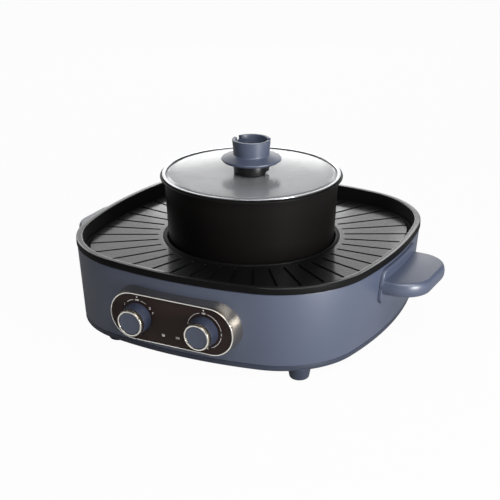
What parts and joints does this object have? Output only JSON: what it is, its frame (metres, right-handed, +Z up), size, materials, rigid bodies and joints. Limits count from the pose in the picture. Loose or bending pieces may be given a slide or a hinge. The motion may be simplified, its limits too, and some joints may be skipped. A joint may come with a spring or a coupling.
{
  "type": "hot pot grill combo",
  "caption": "Electric countertop base with a lift-off grooved grill plate, a deep pot in its middle, a glass lid, side handles and a two-knob control panel.",
  "frame": {"origin": "on the floor, under the middle of the whole object's bounding box; the pot's axis stands 14.2 mm behind it", "axes": "+X to the right seen from the front, across both handles; +Y from the control panel to the back; +Z up from the feet's undersides"},
  "size_m": [0.495, 0.4289, 0.232],
  "materials": {
    "housing_plastic": "satin slate blue-grey moulding",
    "gold_trim": "champagne satin",
    "panel_face": "dark brown satin",
    "nonstick_cast": "cast, black non-stick coat",
    "black_plastic": "satin black",
    "lid_glass": "clear tempered",
    "seal_rubber": "matt",
    "bare_aluminium": "satin",
    "ceramic": "unglazed ceramic look",
    "brass_parts": "plain",
    "thermostat_case": "matt moulded",
    "steel": "satin"
  },
  "bodies": {
    "base": {"housing": "housing_plastic", "base_cover": "housing_plastic", "foot_front_left": "housing_plastic", "base_screw_front_left": "steel", "foot_front_right": "housing_plastic", "base_screw_front_right": "steel", "foot_rear_left": "housing_plastic", "base_screw_rear_left": "steel", "foot_rear_right": "housing_plastic", "base_screw_rear_right": "steel", "handle_right": "housing_plastic", "handle_screw_right_1": "steel", "handle_screw_right_2": "steel", "handle_left": "housing_plastic", "handle_screw_left_1": "steel", "handle_screw_left_2": "steel", "control_bezel": "gold_trim", "control_face": "panel_face", "panel_screw_left": "steel", "panel_screw_right": "steel", "thermostat_pot": "thermostat_case", "thermostat_nut_pot": "brass_parts", "thermostat_grill": "thermostat_case", "thermostat_nut_grill": "brass_parts", "reflector_pan": "bare_aluminium", "grill_heater": "steel", "heater_clip_1": "steel", "heater_clip_2": "steel", "heater_clip_3": "steel", "heater_clip_4": "steel", "hot_plate": "bare_aluminium", "hot_plate_post_1": "steel", "hot_plate_post_2": "steel", "hot_plate_post_3": "steel", "thermal_cutout": "ceramic", "terminal_block": "ceramic", "power_inlet": "black_plastic", "inlet_pin_line": "brass_parts", "inlet_pin_neutral": "brass_parts", "inlet_pin_earth": "brass_parts"},
    "grill_plate": {"grill_plate": "nonstick_cast"},
    "hot_pot": {"pot_shell": "nonstick_cast"},
    "lid": {"lid_rim": "steel", "lid_glass": "lid_glass", "lid_seal": "seal_rubber", "lid_knob_neck": "black_plastic", "lid_knob": "housing_plastic", "lid_knob_screw": "steel"},
    "pot_knob": {"knob_pot_shaft": "steel", "knob_pot_base": "housing_plastic", "knob_pot_ring": "gold_trim", "knob_pot_cap": "housing_plastic"},
    "grill_knob": {"knob_grill_shaft": "steel", "knob_grill_base": "housing_plastic", "knob_grill_ring": "gold_trim", "knob_grill_cap": "housing_plastic"}
  },
  "joints": [
    {"name": "grill_plate_lift", "type": "slide", "parent": "base", "child": "grill_plate", "axis": [0, 0, 1], "range_m": [0, 0.15]},
    {"name": "hot_pot_lift", "type": "slide", "parent": "grill_plate", "child": "hot_pot", "axis": [0, 0, 1], "range_m": [0, 0.15]},
    {"name": "lid_lift", "type": "slide", "parent": "hot_pot", "child": "lid", "axis": [0, 0, 1], "range_m": [0, 0.12]},
    {"name": "pot_knob_turn", "type": "hinge", "parent": "base", "child": "pot_knob", "pos_m": [-0.044, -0.19445, 0.0638], "axis": [0, 0.9976, 0.0698], "range_deg": [0, 280]},
    {"name": "grill_knob_turn", "type": "hinge", "parent": "base", "child": "grill_knob", "pos_m": [0.044, -0.19445, 0.0638], "axis": [0, 0.9976, 0.0698], "range_deg": [0, 280]}
  ]
}
